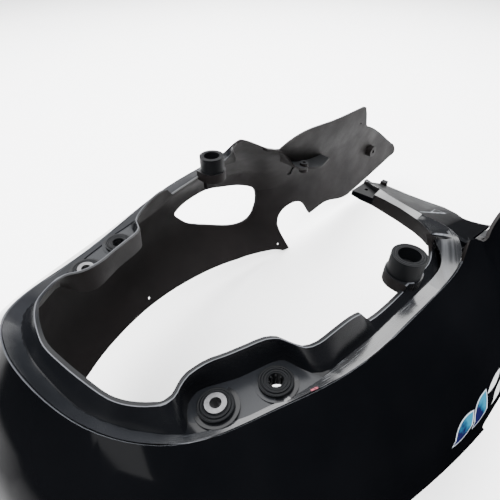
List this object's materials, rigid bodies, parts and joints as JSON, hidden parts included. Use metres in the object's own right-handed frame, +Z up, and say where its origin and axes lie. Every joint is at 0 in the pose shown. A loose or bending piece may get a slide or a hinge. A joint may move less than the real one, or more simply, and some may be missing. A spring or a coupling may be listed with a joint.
{
  "type": "motorcycle tail fairing",
  "caption": "One-piece moulded tail cowl with a raised lip round the seat opening, side windows, long forward wings and rubber-mounted screw points; one cross arm is broken off.",
  "frame": {"origin": "on the ground under the middle of the part, half-way along its length and on its mid-plane", "axes": "+X towards the front of the motorcycle and the wing tips, +Y to its left, +Z up"},
  "size_m": [0.735, 0.3758, 0.2245],
  "materials": {
    "black_plastic": "glossy, worn and scratched",
    "rubber": "matte black rubber",
    "steel": "zinc-plated steel"
  },
  "bodies": {
    "root": {"tail_fairing": "black_plastic", "grommet_rear_left": "rubber", "grommet_front_left": "rubber", "sleeve_left": "steel", "damper_left": "rubber", "grommet_rear_right": "rubber", "grommet_front_right": "rubber", "sleeve_right": "steel", "damper_right": "rubber"}
  },
  "joints": []
}
